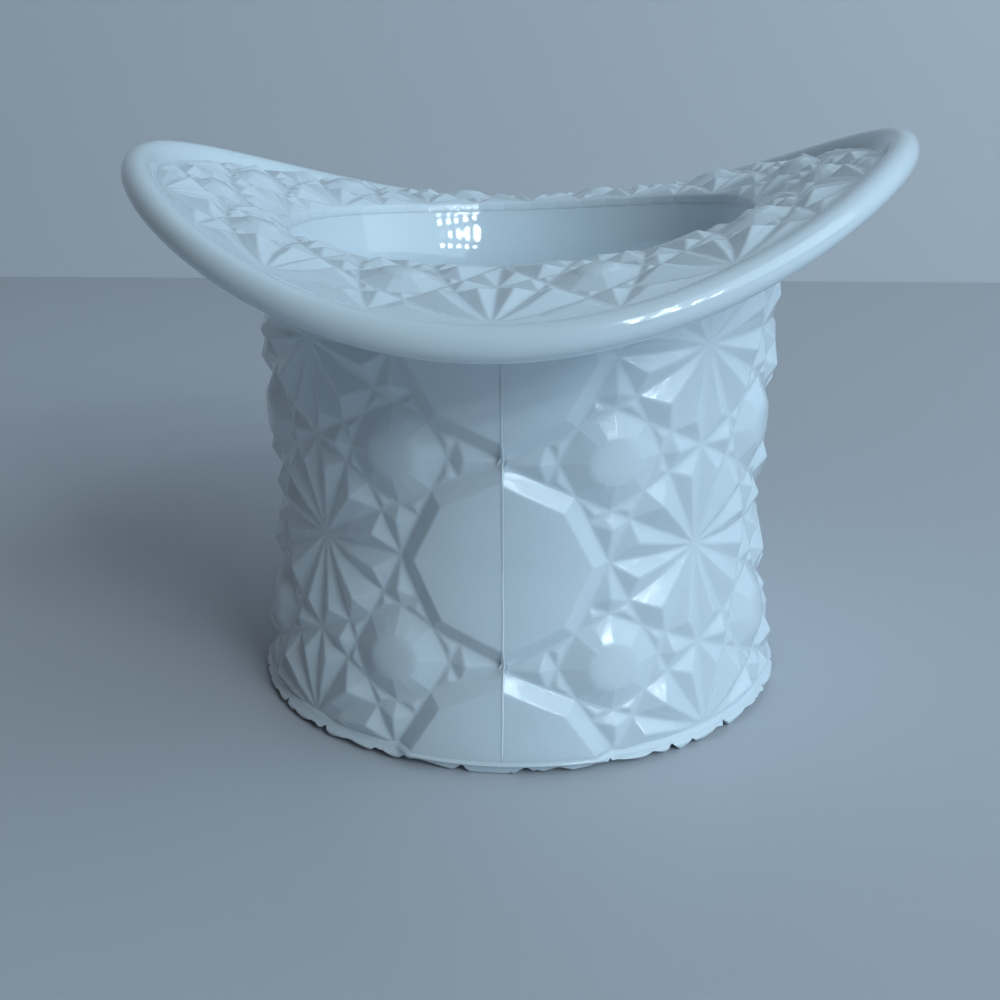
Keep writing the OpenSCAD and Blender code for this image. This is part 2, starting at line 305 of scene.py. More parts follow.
def button(points, look, pitch):
    # a quarter of a button in rings; roundButtons gives them their heights
    shoulder = shoulderAt(look, pitch)
    rings = [scaled(points, k, 0.5) for k in (1, *(shoulder * share for share in buttonRings))]
    out = []
    for a, b in zip(rings, rings[1:]):
        out += strip(a, b, 0, 0)
    return out + fan(rings[-1], (0.5, 0.5), 0)


def roundButtons(co, look, pitch):
    # flat bevels outside, then a round, shallow crown
    x, y = np.mod(co[:, 0], 1) - 0.5, np.mod(co[:, 1], 1) - 0.5
    flatD = 2 * np.maximum(2 * abs(x) + abs(y), abs(x) + 2 * abs(y))
    shoulder = shoulderAt(look, pitch)
    inside = flatD < 0.999
    d = np.hypot(x, y)
    roundD = d / (buttonR * crownReach)
    w = ease((1 - flatD) / (1 - shoulder)) * crownRound
    f = np.where(d > 1e-6, 1 + w * (flatD / np.maximum(roundD, 1e-6) - 1), 1)
    co[:, 0] += np.where(inside, x * (f - 1), 0)
    co[:, 1] += np.where(inside, y * (f - 1), 0)
    bevel = look["buttonShoulder"] * (1 - flatD) / (1 - shoulder)
    rise = np.maximum(1 - (flatD / shoulder) ** look["buttonFlat"], 0) ** look["buttonEdge"]
    crown = look["buttonShoulder"] + (look["buttonTop"] - look["buttonShoulder"]) * rise
    co[:, 2] = np.where(inside, np.where(flatD > shoulder, bevel, crown), co[:, 2])


def starQuarter(look, pitch):
    s, t = facetSlope(look, pitch), third
    return (chip((1, .5), (.8, .4), (1, 0), s * petalR)
            + chip((1, 0), (.6, .2), (.5, 0), s * petalR)
            + fan([(1, 0), (.8, .4), (2 * t, t), (.6, .2), (1, 0)], (.75, .25), s * cornerR)
            + chip((.8, .4), (.75, .5), (2 * t, t), s * chipR)
            + chip((.6, .2), (2 * t, t), (.5, .25), s * chipR)
            + fan([(.75, .5), (.8, .4), (1, .5)], (5 * t / 2, .5), s * kiteR)
            + fan([(.5, 0), (.6, .2), (.5, .25)], (.5, t / 2), s * kiteR)
            + button([(.5, .25), (2 * t, t), (.75, .5)], look, pitch))


def panelQuarter(look, pitch):
    s, t, h = facetSlope(look, pitch), third, look["panelH"]
    outer = [(.5, 0), (.4, .2), (t, t), (.2, .4), (0, .5)]
    inner = scaled(outer, 1 - look["panelBevel"] / pitch / panelR)
    out = strip(outer, inner, 0, h)
    rings = [scaled(inner, k) for k in panelRings]
    for a, b in zip(rings, rings[1:]):
        out += strip(a, b, h, h)
    out += fan(rings[-1], (0, 0), h, h)
    return (out + chip((.2, .4), (t, t), (.25, .5), s * chipR)
            + chip((.4, .2), (.5, .25), (t, t), s * chipR)
            + fan([(0, .5), (.2, .4), (.25, .5)], (t / 2, .5), s * kiteR)
            + fan([(.5, .25), (.4, .2), (.5, 0)], (.5, t / 2), s * kiteR)
            + button([(.25, .5), (t, t), (.5, .25)], look, pitch))


def mirrored(facets, axis, c):
    def flipped(p):
        return tuple(2 * c - x if i == axis else x for i, x in enumerate(p))
    return [[flipped(p) for p in reversed(f)] for f in facets]


def moved(facets, du):
    return [[(p[0] + du, p[1], p[2]) for p in f] for f in facets]


def tileObject(name, facets, look, pitch):
    # facets of half a row, mirrored into a whole row, welded and cut finer
    facets = facets + mirrored(facets, 1, 0.5)
    bm = bmesh.new()
    for f in facets:
        bm.faces.new([bm.verts.new(p) for p in f])
    bmesh.ops.remove_doubles(bm, verts=bm.verts, dist=tileWeld)
    for f in bm.faces:
        if f.normal.z < 0:
            f.normal_flip()
    bmesh.ops.subdivide_edges(bm, edges=bm.edges, cuts=1, use_grid_fill=True)
    mesh = written(bm, bpy.data.meshes.new(name))
    co = coordinates(mesh)
    roundButtons(co, look, pitch)
    place(mesh, co)
    return linked(name, mesh)


# Geometry Nodes: repeats a tile in columns and rows and welds the copies together
def repeatTree():
    tree = bpy.data.node_groups.new("repeatTile", "GeometryNodeTree")
    socket = tree.interface.new_socket
    socket("Tile", in_out="INPUT", socket_type="NodeSocketGeometry")
    for name, kind, value in (("Columns", "NodeSocketInt", 4), ("Column Step", "NodeSocketFloat", 2.0),
                              ("Rows", "NodeSocketInt", 1), ("Row Step", "NodeSocketFloat", 1.0),
                              ("Weld", "NodeSocketFloat", rowWeld)):
        socket(name, in_out="INPUT", socket_type=kind).default_value = value
    socket("Glass", in_out="INPUT", socket_type="NodeSocketMaterial")
    socket("Skin", in_out="OUTPUT", socket_type="NodeSocketGeometry")
    new, link = tree.nodes.new, tree.links.new
    given, result = new("NodeGroupInput"), new("NodeGroupOutput")
    lines = []
    for count, step, axis in (("Columns", "Column Step", "X"), ("Rows", "Row Step", "Y")):
        vector = new("ShaderNodeCombineXYZ")
        link(given.outputs[step], vector.inputs[axis])
        line = new("GeometryNodeMeshLine")
        link(given.outputs[count], line.inputs["Count"])
        link(vector.outputs[0], line.inputs["Offset"])
        lines.append(line)
    grid, copies = new("GeometryNodeInstanceOnPoints"), new("GeometryNodeInstanceOnPoints")
    link(lines[0].outputs[0], grid.inputs["Points"])
    link(lines[1].outputs[0], grid.inputs["Instance"])
    points = new("GeometryNodeRealizeInstances")
    link(grid.outputs[0], points.inputs[0])
    link(points.outputs[0], copies.inputs["Points"])
    link(given.outputs["Tile"], copies.inputs["Instance"])
    weld = new("GeometryNodeMergeByDistance")
    real = new("GeometryNodeRealizeInstances")
    link(copies.outputs[0], real.inputs[0])
    link(real.outputs[0], weld.inputs["Geometry"])
    link(given.outputs["Weld"], weld.inputs["Distance"])
    material = new("GeometryNodeSetMaterial")
    link(weld.outputs[0], material.inputs["Geometry"])
    link(given.outputs["Glass"], material.inputs["Material"])
    link(material.outputs[0], result.inputs[0])
    return tree


# Geometry Nodes: a thin round bar along a line of points, for the mould seams
def seamTree():
    tree = bpy.data.node_groups.new("mouldSeam", "GeometryNodeTree")
    socket = tree.interface.new_socket
    socket("Line", in_out="INPUT", socket_type="NodeSocketGeometry")
    socket("Seam Radius", in_out="INPUT", socket_type="NodeSocketFloat").default_value = 0.0002
    socket("Sides", in_out="INPUT", socket_type="NodeSocketInt").default_value = 8
    socket("Glass", in_out="INPUT", socket_type="NodeSocketMaterial")
    socket("Seam", in_out="OUTPUT", socket_type="NodeSocketGeometry")
    new, link = tree.nodes.new, tree.links.new
    given, result = new("NodeGroupInput"), new("NodeGroupOutput")
    path = new("GeometryNodeMeshToCurve")
    section = new("GeometryNodeCurvePrimitiveCircle")
    bar = new("GeometryNodeCurveToMesh")
    link(given.outputs["Line"], path.inputs["Mesh"])
    link(given.outputs["Seam Radius"], section.inputs["Radius"])
    link(given.outputs["Sides"], section.inputs["Resolution"])
    link(path.outputs[0], bar.inputs["Curve"])
    link(section.outputs[0], bar.inputs["Profile Curve"])
    bar.inputs["Fill Caps"].default_value = True
    real, material = new("GeometryNodeRealizeInstances"), new("GeometryNodeSetMaterial")
    link(bar.outputs[0], real.inputs[0])
    link(real.outputs[0], material.inputs["Geometry"])
    link(given.outputs["Glass"], material.inputs["Material"])
    link(material.outputs[0], result.inputs[0])
    return tree


def grown(o, tree, values):
    # runs a tree on an object and gives back the plain mesh
    mod = o.modifiers.new("grow", "NODES")
    mod.node_group = tree
    ids = {s.name: s.identifier for s in tree.interface.items_tree if s.in_out == "INPUT"}
    for name, value in values.items():
        mod[ids[name]] = value
    return evaluated(o)


# glass
def grainGroup():
    # fine mould grain and a slow waviness, as heights for a bump
    tree = bpy.data.node_groups.new("mouldGrain", "ShaderNodeTree")
    socket = tree.interface.new_socket
    for name, value in (("Grain Size", 0.25), ("Grain", 0.5), ("Wave Size", 4.0), ("Wave", 0.5)):
        socket(name, in_out="INPUT", socket_type="NodeSocketFloat").default_value = value
    socket("Height", in_out="OUTPUT", socket_type="NodeSocketFloat")
    socket("Mottle", in_out="OUTPUT", socket_type="NodeSocketFloat")
    new, link = tree.nodes.new, tree.links.new
    given, result, coords = new("NodeGroupInput"), new("NodeGroupOutput"), new("ShaderNodeTexCoord")
    heights = []
    for size, amount, detail in (("Grain Size", "Grain", 2), ("Wave Size", "Wave", 1)):
        scale = new("ShaderNodeMath")
        scale.operation = "DIVIDE"
        scale.inputs[0].default_value = 1 / mm
        link(given.outputs[size], scale.inputs[1])
        noise = new("ShaderNodeTexNoise")
        noise.inputs["Detail"].default_value = detail
        link(coords.outputs["Object"], noise.inputs["Vector"])
        link(scale.outputs[0], noise.inputs["Scale"])
        times = new("ShaderNodeMath")
        times.operation = "MULTIPLY"
        link(noise.outputs[0], times.inputs[0])
        link(given.outputs[amount], times.inputs[1])
        heights.append(times)
    add = new("ShaderNodeMath")
    link(heights[0].outputs[0], add.inputs[0])
    link(heights[1].outputs[0], add.inputs[1])
    link(add.outputs[0], result.inputs["Height"])
    link(noise.outputs[0], result.inputs["Mottle"])  # the slow wave
    return tree


def milkGlass(name, group, look):
    m = bpy.data.materials.new(name)
    m.use_nodes = True
    nodes, link = m.node_tree.nodes, m.node_tree.links.new
    shader = nodes["Principled BSDF"]
    for socket, key in (("IOR", "ior"), ("Subsurface Weight", "subsurface"), ("Subsurface Radius", "depth"),
                        ("Subsurface Scale", "depthScale"), ("Coat Weight", "coat"),
                        ("Coat Roughness", "coatRoughness")):
        shader.inputs[socket].default_value = look[key]
    grain = nodes.new("ShaderNodeGroup")
    grain.node_tree = group
    for key, value in look["grain"].items():
        grain.inputs[key].default_value = value
    bump = nodes.new("ShaderNodeBump")
    bump.inputs["Strength"].default_value = 1
    bump.inputs["Distance"].default_value = look["bump"] * mm
    link(grain.outputs["Height"], bump.inputs["Height"])
    link(bump.outputs[0], shader.inputs["Normal"])
    tint = nodes.new("ShaderNodeMix")
    tint.data_type = "RGBA"
    link(grain.outputs["Mottle"], tint.inputs["Factor"])
    tint.inputs["A"].default_value = (*look["color"], 1)
    tint.inputs["B"].default_value = (*look["colorThick"], 1)
    link(tint.outputs["Result"], shader.inputs["Base Color"])
    rough = nodes.new("ShaderNodeMapRange")
    link(grain.outputs["Mottle"], rough.inputs["Value"])
    rough.inputs["To Min"].default_value, rough.inputs["To Max"].default_value = look["roughness"]
    link(rough.outputs[0], shader.inputs["Roughness"])
    return m


grain = grainGroup()
milk = {"colorThick": (0.70, 0.81, 0.89), "ior": 1.5, "subsurface": 0.25, "depth": (1.0, 1.0, 1.0),
        "depthScale": 0.001, "coat": 0.3, "coatRoughness": 0.05}
pressedGlass = milkGlass("pressedGlass", grain, {
    **milk, "color": (0.72, 0.82, 0.90), "roughness": (0.04, 0.08),
    "grain": {"Grain Size": 0.13, "Grain": 0.7, "Wave Size": 2.6, "Wave": 1.0}, "bump": 0.035})
smoothGlass = milkGlass("smoothGlass", grain, {
    **milk, "color": (0.72, 0.83, 0.90), "roughness": (0.03, 0.07), "coat": 0.35, "coatRoughness": 0.03,
    "grain": {"Grain Size": 0.6, "Grain": 0.03, "Wave Size": 5.0, "Wave": 1.0}, "bump": 0.05})
seamGlass = milkGlass("seamGlass", grain, {
    **milk, "color": (0.74, 0.83, 0.90), "roughness": (0.12, 0.2), "subsurface": 0.0,
    "grain": {"Grain Size": 0.3, "Grain": 0.3, "Wave Size": 2.6, "Wave": 0.5}, "bump": 0.01})
print("glass: pressed, smooth and seam finishes made")

repeat, seamNodes = repeatTree(), seamTree()
pieces = []


def piece(name, mesh, glass, slot, *nodes):
    mesh.materials.clear()
    mesh.materials.append(glass)
    for p in mesh.polygons:
        p.use_smooth = True
        p.material_index = 0
    o = linked(name, mesh)
    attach(o, "root")
    if nodes:
        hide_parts(*nodes)
    pieces.append(o)


# pressed wall, and the neck where the pattern runs out under the brim
wallLook = {"facetAngle": 28, "panelBevel": 1.6, "panelH": 1.2, "crease": 0.24, "creaseAngles": (7, 45),
            "buttonBevel": 1.9, "buttonShoulder": 0.95, "buttonTop": 1.25, "buttonFlat": 4,
            "buttonEdge": 1, "rowSag": (0.3, 0.3), "halfDrop": 0.4, "halfTurn": -0.3,
            "halfEdge": 0.6, "halfFoot": 0.3, "halfNeck": 0.4, "neckFade": (2.05, 2.46), "neckLap": 1.0,
            "neckTuck": (0.03, 0.9), "footCreaseZ": 2.8, "footCrease": 0.13, "footLap": 0.3, "seamW": 0.3,
            "backR": 25.0}
pitch, tileColumns = hat["rowPitch"], 4


def neckPoint(a, t):
    # point and outward normal on the curve under the brim
    r0, r2 = hat["neckGrooveR"], neckEnd
    z1, z2 = underZ(a, r0), underZ(a, r2)
    r, z = curved(t, (r0, crownTop), (r0, z1), (r2, z2))
    dr, dz = 2 * t * (r2 - r0), 2 * (1 - t) * (z1 - crownTop) + 2 * t * (z2 - z1)
    length = np.hypot(dr, dz)
    return r, z, dz / length, -dr / length


def wrapWall(co, look):
    # rolls the lattice round the crown, with one half of the mould lower than the other
    u, v, h = co.T
    rows, middle = hat["rows"], hat["columns"] / 2
    half = np.where(u < middle, 1 - ease((u - middle + look["halfEdge"]) / look["halfEdge"]), 0)
    half = half * ease(v / look["halfFoot"]) * (1 - ease((v - rows) / look["halfNeck"]))
    a = np.radians(-90 + 360 / hat["columns"] * u + look["halfTurn"] * half)
    w = np.minimum(v, rows)
    sag = look["rowSag"][0] * np.sin(np.pi * w / rows) + look["rowSag"][1] * np.sin(np.pi * w)
    z = hat["footH"] + pitch * v - sag - look["halfDrop"] * half
    r = wallR(w) + h - look["footCrease"] * np.maximum(look["footCreaseZ"] - z, 0)
    neckR, neckZ, outR, outZ = neckPoint(a, np.clip((v - rows) / hat["neckRows"], 0, 1))
    fadeFrom, fadeTo = look["neckFade"]
    h = h * (1 - ease((v - fadeFrom) / (fadeTo - fadeFrom)))
    onNeck = v > rows
    r = np.where(onNeck, neckR + outR * h, r)
    z = np.where(onNeck, neckZ + outZ * h - look["halfDrop"] * half, z)
    return np.c_[r * np.cos(a), r * np.sin(a), z] * mm


def footEdges(bm):
    # the open edge at the foot, without the open ends of the wall at the front
    top, side = (hat["footH"] + wallLook["footLap"]) * mm, wallLook["seamW"] * mm
    return [e for e in bm.edges if e.is_boundary and all(0 <= v.co.z <= top for v in e.verts)
            and not all(abs(v.co.x) < side and v.co.y < 0 for v in e.verts)]


def neckEdges(bm):
    least = (neckEnd - wallLook["neckLap"]) * mm
    return [e for e in bm.edges if e.is_boundary and all(v.co.xy.length > least for v in e.verts)]


def behindWall(co):
    k = wallLook["backR"] * mm / co.xy.length
    return Vector((co.x * k, co.y * k, co.z))


def underBrim(co):
    tuck, rise = wallLook["neckTuck"]
    return co * (1 - tuck) + Vector((0, 0, tuck * co.z + rise * mm))


panel, star = panelQuarter(wallLook, pitch), starQuarter(wallLook, pitch)
star = star + mirrored(star, 0, 1.0)
columns = panel + star + moved(star, 1) + moved(star, 2) + mirrored(panel, 0, tileColumns / 2)
tile = tileObject("wallTile", columns, wallLook, pitch)
wall = grown(tile, repeat, {
    "Columns": hat["columns"] // tileColumns, "Column Step": float(tileColumns),
    "Rows": hat["rows"] + 1, "Row Step": 1.0, "Weld": rowWeld, "Glass": pressedGlass})
bm = opened(wall)
above = [f for f in bm.faces if f.calc_center_median().y > hat["rows"] + hat["neckRows"]]
bmesh.ops.delete(bm, geom=above, context="FACES")
written(bm, wall)
place(wall, wrapWall(coordinates(wall), wallLook))
bm = opened(softened(wall, wallLook))
drawn(bm, footEdges(bm), behindWall)
drawn(bm, neckEdges(bm), underBrim)
wall = written(bm, bpy.data.meshes.new("pressedWall"))
piece("pressedWall", wall, pressedGlass, "pressed_glass", "crown_pattern")
print("wall:", len(wall.polygons), "faces")

# mould seams, front and back, where the two halves of the mould met
seamLook = {"radius": 0.14, "sides": 10, "sink": 0.11, "from": 0.02, "to": 2.42, "points": 160,
            "wander": 0.05, "waves": (9.0, 23.0), "samples": 1000}


def columnLine(u, v, h):
    # radius and height along a column of the wall
    line = wrapWall(np.c_[np.full(len(v), u), v, np.broadcast_to(h, len(v))], wallLook) / mm
    return np.hypot(line[:, 0], line[:, 1]), line[:, 2]


def panelFace(u, z):
    # radius of the plain panels at these heights
    v = np.linspace(0, hat["rows"] + hat["neckRows"], seamLook["samples"])
    v = v[v < hat["rows"]]
    flat = 1 - wallLook["panelBevel"] / pitch / panelR
    h = wallLook["panelH"] * np.clip((0.5 - abs(v - np.round(v))) / (0.5 - flat / 2), 0, 1)
    lineR, lineZ = columnLine(u, v, h)
    return np.interp(z, lineZ, lineR)


v = np.linspace(seamLook["from"], seamLook["to"], seamLook["points"])
onNeck, faceZ = v > hat["rows"], hat["footH"] + pitch * v
wander = seamLook["wander"] * sum(np.sin(v * k) for k in seamLook["waves"]) / len(seamLook["waves"])
backColumn, lastColumn = hat["columns"] / 2, float(hat["columns"])
for name, u, ends in (("frontSeam", 0.0, (0.0, lastColumn)), ("backSeam", backColumn, (backColumn,))):
    faceR = np.max([panelFace(end, faceZ) for end in ends], axis=0)
    neckR, neckZ = columnLine(u, v, wallLook["panelH"])
    r = np.where(onNeck, neckR, faceR) - seamLook["sink"]
    z = np.where(onNeck, neckZ, faceZ)
    a = math.radians(-90 + 360 / hat["columns"] * u)
    x = r * math.cos(a) + wander * math.sin(a)
    y = r * math.sin(a) - wander * math.cos(a)
    mesh = bpy.data.meshes.new(name)
    mesh.from_pydata([tuple(p) for p in np.c_[x, y, z] * mm], [(i, i + 1) for i in range(len(v) - 1)], [])
    seam = grown(linked(name + "Line", mesh), seamNodes, {
        "Seam Radius": seamLook["radius"] * mm, "Sides": seamLook["sides"], "Glass": seamGlass})
    piece(name, seam, seamGlass, "pressed_glass")
print("seams: front and back")

# pressed top of the brim, with its lip
brimLook = {"facetAngle": 26, "crease": 0.2, "creaseAngles": (5, 45), "buttonBevel": 1.3,
            "buttonShoulder": 0.5, "buttonTop": 0.85, "buttonFlat": 3, "buttonEdge": 1,
            "lipRelief": 0.75, "beadRelief": 0.3, "edgeFade": 0.2, "lipIn": 0.2, "lipDrop": 0.9,
            "underBead": (0.9, 0.5), "beadDrop": 0.8}
brimPitch = meanReach - hat["beadInset"] - hat["mouthR"]


def wrapBrim(co, look):
    u, v, h = co.T
    a = np.radians(-90 + 360 / hat["brimStars"] * u)
    r = edgeR(a) + (hat["mouthR"] - edgeR(a)) * v
    atBead = look["beadRelief"] + (1 - look["beadRelief"]) * np.minimum(1, v / look["edgeFade"])
    atLip = look["lipRelief"] + (1 - look["lipRelief"]) * np.minimum(1, (1 - v) / look["edgeFade"])
    wide = 2 * np.pi * r / hat["brimStars"] / brimPitch  # keeps the facets' slope where the tile is wider
    z = topZ(a, r) + h * np.minimum(atBead, atLip) * wide
    return np.c_[r * np.cos(a), r * np.sin(a), z] * mm


def loopR(edges):
    return edges[0].verts[0].co.xy.length


def downLip(co):
    a = math.atan2(co.y, co.x)
    return polar(hat["mouthR"] - brimLook["lipIn"], a, lipZ(a) - brimLook["lipDrop"])


def underBead(co):
    a = math.atan2(co.y, co.x)
    out, drop = brimLook["underBead"]
    return polar(edgeR(a) + out, a, edgeZ(a) - drop)


star = starQuarter(brimLook, brimPitch)
tile = tileObject("brimTile", star + mirrored(star, 0, 1.0), brimLook, brimPitch)
brimTop = grown(tile, repeat, {"Columns": hat["brimStars"], "Column Step": 1.0, "Rows": 1, "Row Step": 1.0,
                               "Weld": rowWeld, "Glass": pressedGlass})
place(brimTop, wrapBrim(coordinates(brimTop), brimLook))
bm = opened(brimTop)
bmesh.ops.remove_doubles(bm, verts=bm.verts, dist=meshWeld)
lip, outer = sorted(boundaryLoops(bm), key=loopR)[:2]
lipLow = drawn(bm, lip, downLip, hidden=False)
outer = drawn(bm, outer, underBead, hidden=False)  # the pattern runs on under the bead
outerLow = drawn(bm, outer, lambda co: co - Vector((0, 0, brimLook["beadDrop"] * mm)))
back = bm.faces.layers.int.get("backFace")
for f in bmesh.ops.bridge_loops(bm, edges=lipLow + outerLow)["faces"]:
    f[back] = 1
bmesh.ops.recalc_face_normals(bm, faces=bm.faces)
if max(bm.faces, key=lambda f: f.calc_center_median().z).normal.z < 0:
    bmesh.ops.reverse_faces(bm, faces=bm.faces)
brimTop = softened(written(bm, brimTop), brimLook)
piece("pressedBrim", brimTop, pressedGlass, "pressed_glass", "brim_pattern")
print("brim top:", len(brimTop.polygons), "faces")

# the well: a smooth cup with a rounded floor
wellLook = {"turns": 192, "wallRings": 16, "roundStep": 7.5, "floorRings": (0.75, 0.5, 0.25, 0.0),
            "backR": 24.9, "backGap": 0.05}
angles = turns(wellLook["turns"])
wellR, floorR = hat["wellTopR"], hat["wellFloorR"]
floorZ, rounding = hat["wellFloorZ"], hat["wellRound"]
profile = [(wellR + (floorR - wellR) * k, crownTop + (floorZ + rounding - crownTop) * k)
           for k in np.linspace(0, 1, wellLook["wallRings"])]
step = wellLook["roundStep"]
profile += [(floorR - rounding * (1 - math.cos(t)), floorZ + rounding * (1 - math.sin(t)))
            for t in np.radians(np.arange(step, 90 + step / 2, step))]
profile += [((floorR - rounding) * k, floorZ) for k in wellLook["floorRings"]]
shown = len(profile) - 1
backR, backZ = wellLook["backR"], hat["footH"] + wellLook["backGap"]
profile += [(0.0, backZ), (backR, backZ), (backR, crownTop)]
well = ringMesh("well", [ring(angles, r, z) for r, z in profile])
hideFrom(well, shown * wellLook["turns"])
closedPoles(well)
piece("well", outward(well, toAxis), smoothGlass, "smooth_glass", "crown")

# body of the brim: the throat above the well, and the smooth underside
throatLook = {"turns": 288, "rings": 16, "pull": (3.0, 3.0), "lean": 0.05, "behind": (0.25, 0.45)}
angles = turns(throatLook["turns"])
startR, startZ = hat["mouthR"] - brimLook["lipIn"], lipZ(angles) - brimLook["lipDrop"]
pullLip, pullWell = throatLook["pull"]
lipSlope = brimLook["lipIn"] / brimLook["lipDrop"]
course = ((startR, startZ), (startR - lipSlope * pullLip, startZ - pullLip),
          (wellR + throatLook["lean"] * pullWell, crownTop + pullWell), (wellR, crownTop))
behind, above = throatLook["behind"]
rings = [ring(angles, startR + behind, startZ + above)]  # starts behind the lip
rings += [ring(angles, *curved(t, *course)) for t in np.linspace(0, 1, throatLook["rings"])]
throat = outward(ringMesh("throat", rings, closed=False), toAxis)
undersideLook = {"turns": 288, "rings": 8, "neckLap": 0.02, "beadLap": 0.5, "backRise": (0.9, 1.2)}
angles = turns(undersideLook["turns"])
neckR, beadR = neckEnd - undersideLook["neckLap"], edgeR(angles) + undersideLook["beadLap"]
rings = []
for k in np.linspace(0, 1, undersideLook["rings"]):
    r = neckR + (beadR - neckEnd) * k
    rings.append(ring(angles, r, underZ(angles, r)))
shown = len(rings) - 1
rings.append(ring(angles, beadR, underZ(angles, edgeR(angles)) + undersideLook["backRise"][0]))
rings.append(ring(angles, neckR, underZ(angles, neckEnd) + undersideLook["backRise"][1]))
underside = ringMesh("underside", rings)
hideFrom(underside, shown * undersideLook["turns"])
outward(underside, lambda c: Vector((0, 0, -1)))
brimBody = written(opened(throat, underside), bpy.data.meshes.new("brimBody"))
piece("brimBody", brimBody, smoothGlass, "smooth_glass", "brim")

# rounded bead at the rim
beadLook = {"turns": 288, "radius": 1.52, "arc": (-104, 95), "arcStep": 12, "start": (0.1, 0.12),
            "leave": 100, "ease": 0.9, "easeRings": 9, "meet": (0.05, 0.06),
            "tail": ((0.1, 0.08), (0.4, 0.4), (0.4, 1.0))}
angles = turns(beadLook["turns"])
rim, rimH, edge, edgeH = rimR(angles), rimZ(angles), edgeR(angles), edgeZ(angles)


def beadPoint(t):
    return rim + beadLook["radius"] * np.cos(t), rimH + beadLook["radius"] * np.sin(t)


def fromBead(c):
    a = math.atan2(c.y, c.x)
    return c - polar(rimR(a), a, rimZ(a))


startOut, startUp = beadLook["start"]
rings = [ring(angles, edge + startOut, edgeH - hat["beadStep"] - hat["beadUnder"] + startUp)]
for t in np.radians(np.arange(*beadLook["arc"], beadLook["arcStep"])):
    rings.append(ring(angles, *beadPoint(t)))
leave = math.radians(beadLook["leave"])
leaveR, leaveZ = beadPoint(leave)
course = ((leaveR, leaveZ),
          (leaveR - beadLook["ease"] * math.sin(leave), leaveZ + beadLook["ease"] * math.cos(leave)),
          (edge + beadLook["meet"][0], edgeH + beadLook["meet"][1]))
rings += [ring(angles, *curved(t, *course)) for t in np.linspace(0, 1, beadLook["easeRings"])]
for inset, drop in beadLook["tail"]:  # runs in under the pattern
    rings.append(ring(angles, edge - inset, edgeH - drop))
piece("rimBead", outward(ringMesh("rimBead", rings), fromBead), smoothGlass, "smooth_glass", "rim_bead")

# foot: a smooth band, and an underside cut by four sets of grooves
footLook = {"turns": 720, "rings": 56, "round": 0.14, "plainR": 9.0, "plainFade": 0.6,
            "grooveD": 0.8, "groovePitch": 8.9, "grooveAngle": 26, "grooveRound": 0.06, "grooveReach": 3,
            "turn": 20, "stagger": 0.2, "notches": 84, "notchW": 1.1, "notchD": 1.1, "notchFrom": 23.0,
            "notchRun": 5, "notchStray": ((0.32, 2.4), (0.2, 5.1)), "notchUneven": (0.38, 1.7),
            "plainArc": (-6.6, 0.7), "arcFade": 1, "arcFrom": 27, "arcRun": 1.5,
            "sideRings": (0.07, 0.18, 0.3, 0.45, 0.6, 0.75, 0.9, 1.0), "lowIn": 0.04, "panelEdge": 0.1,
            "bandR": 29.55, "bandZ": 0.7, "meet": 0.15, "tuck": (0.4, 0.5), "backR": 26.0}
angles = turns(footLook["turns"])


def grooveCut(x, y):
    # depth of the long grooves, which leave the middle plain
    slope, soft = math.tan(math.radians(footLook["grooveAngle"])), footLook["grooveRound"]
    apart, reach = footLook["groovePitch"], footLook["grooveReach"]
    depth = np.zeros_like(x)
    for i, lean in enumerate((math.atan(0.5), math.atan(2), -math.atan(0.5), -math.atan(2))):
        a = lean + math.radians(footLook["turn"])
        d = -x * math.sin(a) + y * math.cos(a) - i * footLook["stagger"]
        d = np.abs(d - np.clip(np.round(d / apart), -reach, reach) * apart)
        depth = np.maximum(depth, footLook["grooveD"] - np.sqrt((d * slope) ** 2 + soft ** 2) + soft)
    return np.maximum(depth, 0) * ease((np.hypot(x, y) - footLook["plainR"]) / footLook["plainFade"])


def soleCut(x, y):
    # depth of the grooves, and of short cuts that notch the edge, uneven in depth and spacing
    depth = grooveCut(x, y)
    r, a = np.hypot(x, y), np.degrees(np.arctan2(y, x)) + 90
    run = ease((r - footLook["notchFrom"]) / footLook["notchRun"])
    uneven, rate = footLook["notchUneven"]
    for k in range(footLook["notches"]):
        stray = sum(share * math.sin(k * wave) for share, wave in footLook["notchStray"])
        middle = 360 / footLook["notches"] * (k + stray)
        deep = footLook["notchD"] * (1 - uneven + uneven * math.sin(k * rate))
        off = np.radians(np.abs(np.mod(a - middle + 180, 360) - 180)) * r
        depth = np.maximum(depth, deep * (1 - off / footLook["notchW"]) * run)
    turn, fade = np.mod(a + 180, 360) - 180, footLook["arcFade"]
    low, high = footLook["plainArc"]
    plain = ease((turn - low + fade) / fade) * ease((high + fade - turn) / fade)
    return depth * (1 - plain * ease((r - footLook["arcFrom"]) / footLook["arcRun"]))


rings = []
for r in np.linspace(0.0, hat["footR"] - footLook["round"], footLook["rings"]):
    p = ring(angles, r, 0.0)
    p[:, 2] = soleCut(p[:, 0], p[:, 1])
    rings.append(p)
rim = soleCut(hat["footR"] * np.cos(angles), hat["footR"] * np.sin(angles))
